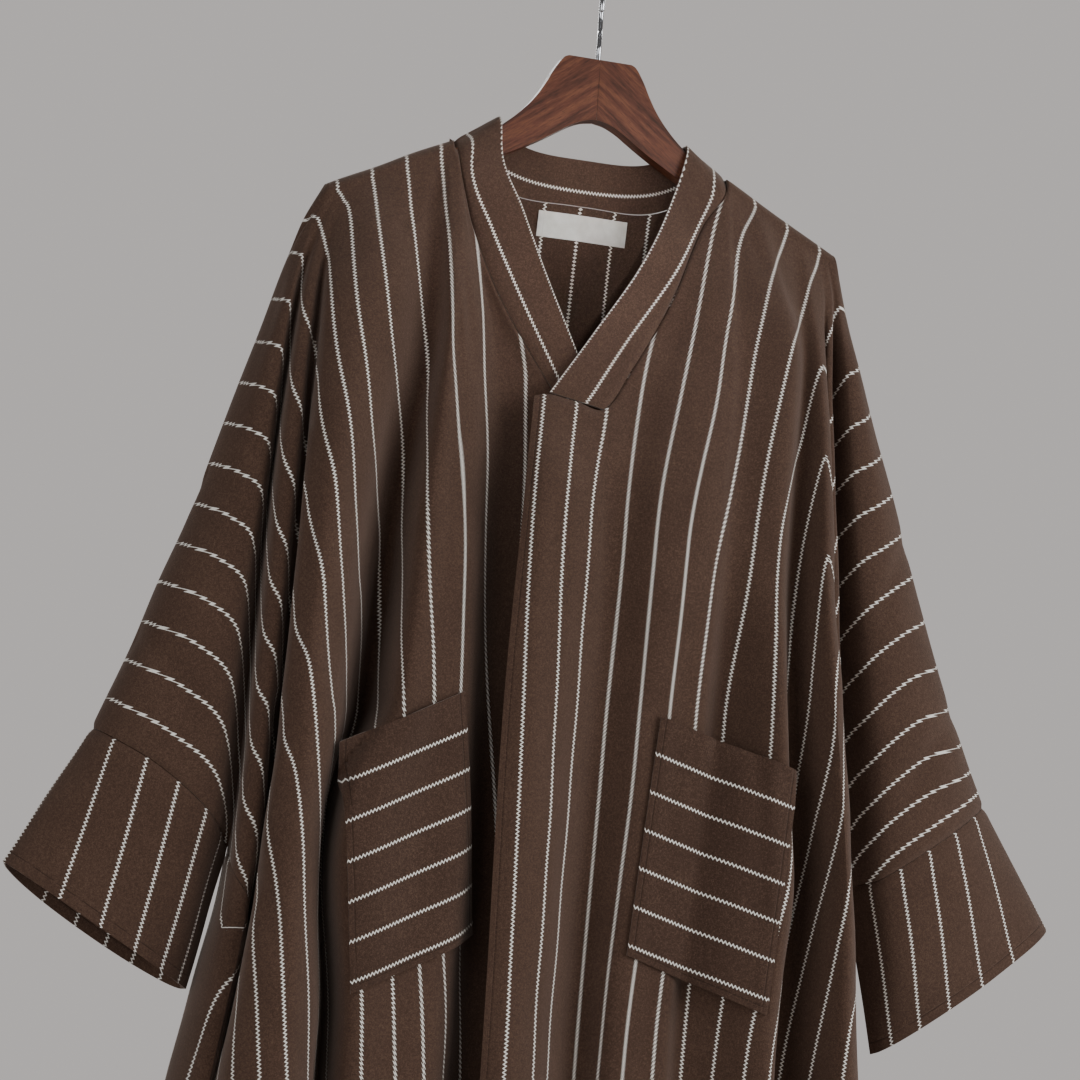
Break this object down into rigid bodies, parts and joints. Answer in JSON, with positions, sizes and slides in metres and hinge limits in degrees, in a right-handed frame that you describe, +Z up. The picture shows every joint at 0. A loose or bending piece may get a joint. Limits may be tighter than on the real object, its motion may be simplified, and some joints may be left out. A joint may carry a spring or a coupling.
{
  "type": "batwing abaya on a hanger",
  "caption": "Open-front ankle-length abaya with batwing sleeves, a crossed neckband, wide cuffs and patch pockets, hung in folds on a wooden hanger.",
  "frame": {"origin": "the inside top of the hanger's hook, where it rests on a rail", "axes": "+Z up, the garment's front faces -Y, the wearer's left is +X"},
  "size_m": [0.8708, 0.208, 1.4242],
  "materials": {
    "cloth": "brushed brown cloth with cream pinstripes",
    "band_cloth": "the same cloth folded double",
    "label": "woven, bare",
    "wood": "brown lacquer, semi-gloss",
    "chrome": "polished wire"
  },
  "bodies": {
    "root": {"front_right": "cloth", "front_left": "cloth", "back": "cloth", "cuff_right": "cloth", "cuff_left": "cloth", "pocket_right": "cloth", "pocket_left": "cloth", "neckband": "band_cloth", "label": "label", "hanger_right": "wood", "hanger_left": "wood", "hook": "chrome"}
  },
  "joints": []
}
